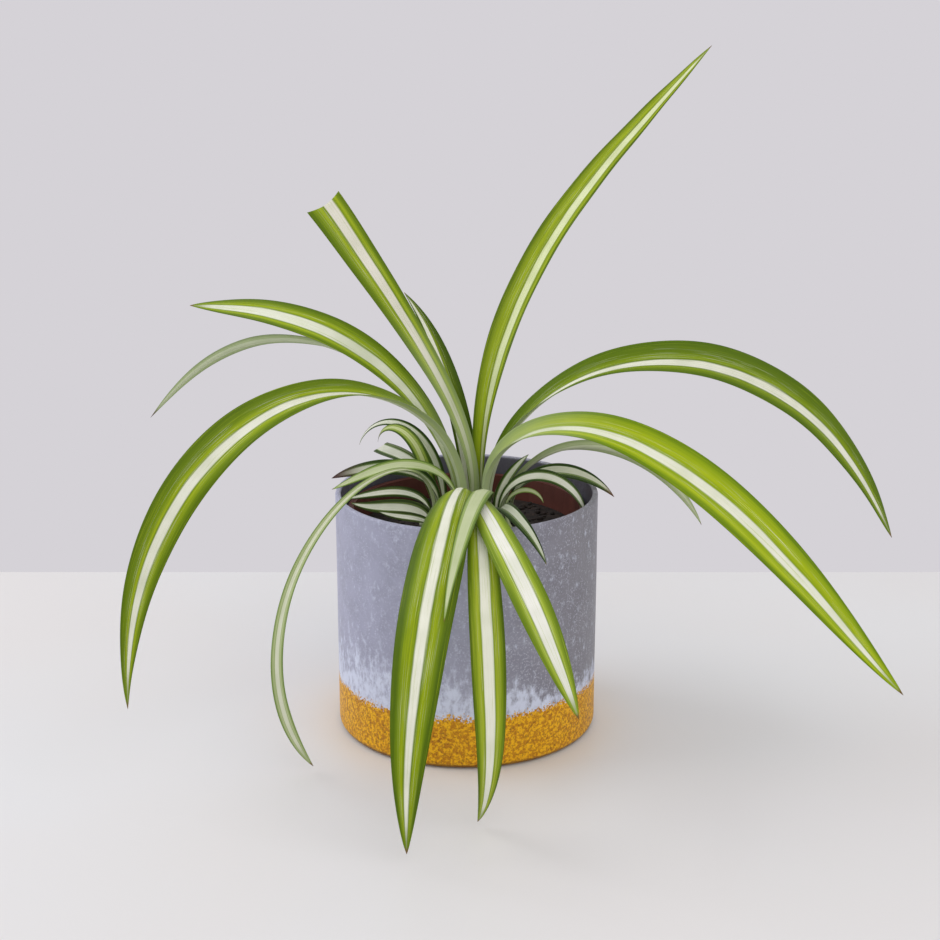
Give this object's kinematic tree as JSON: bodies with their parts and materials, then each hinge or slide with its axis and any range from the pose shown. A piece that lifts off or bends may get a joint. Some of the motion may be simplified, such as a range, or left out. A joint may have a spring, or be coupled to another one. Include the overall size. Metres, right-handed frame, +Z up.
{
  "type": "potted spider plant",
  "caption": "Variegated spider plant with arching striped leaves, in a plastic grower's pot inside a straight glazed cover pot.",
  "frame": {"origin": "centre of the cover pot's flat underside, on the table", "axes": "+Z up, -Y the side the plant is mostly looked at from, +X to the right from there"},
  "size_m": [0.4078, 0.3473, 0.3384],
  "materials": {
    "glaze": "satin stoneware glaze: lavender grey over a pale dripped band and a mustard foot",
    "pot_plastic": "matt red-brown moulded plastic",
    "compost": "dark crumbly compost",
    "leaf_striped": "satin leaf, green with a cream centre stripe",
    "leaf_young": "satin leaf, dark green edges and a cream centre",
    "leaf_pale": "satin leaf, pale grey-green with narrow green edges"
  },
  "bodies": {
    "root": {"cover_pot": "glaze", "grower_pot": "pot_plastic", "compost": "compost", "leaf_tall_right": "leaf_striped", "leaf_cut_left": "leaf_striped", "leaf_short_back": "leaf_striped", "leaf_high_left": "leaf_striped", "leaf_thin_left": "leaf_striped", "leaf_arch_left": "leaf_striped", "leaf_high_right": "leaf_striped", "leaf_arch_right": "leaf_striped", "leaf_pale_right": "leaf_pale", "leaf_front_wide": "leaf_striped", "leaf_front_short": "leaf_striped", "leaf_front_right": "leaf_striped", "leaf_front_middle": "leaf_striped", "leaf_trailing_left": "leaf_pale", "leaf_left_hooked": "leaf_young", "leaf_left_hoop": "leaf_young", "leaf_left_stub": "leaf_young", "leaf_left_arch": "leaf_young", "leaf_left_dry_tip": "leaf_young", "leaf_left_low": "leaf_young", "leaf_left_lower": "leaf_young", "leaf_left_lowest": "leaf_young", "leaf_right_upright": "leaf_young", "leaf_right_arch": "leaf_young", "leaf_right_back": "leaf_young", "leaf_right_hook": "leaf_young", "leaf_right_front": "leaf_young"}
  },
  "joints": []
}
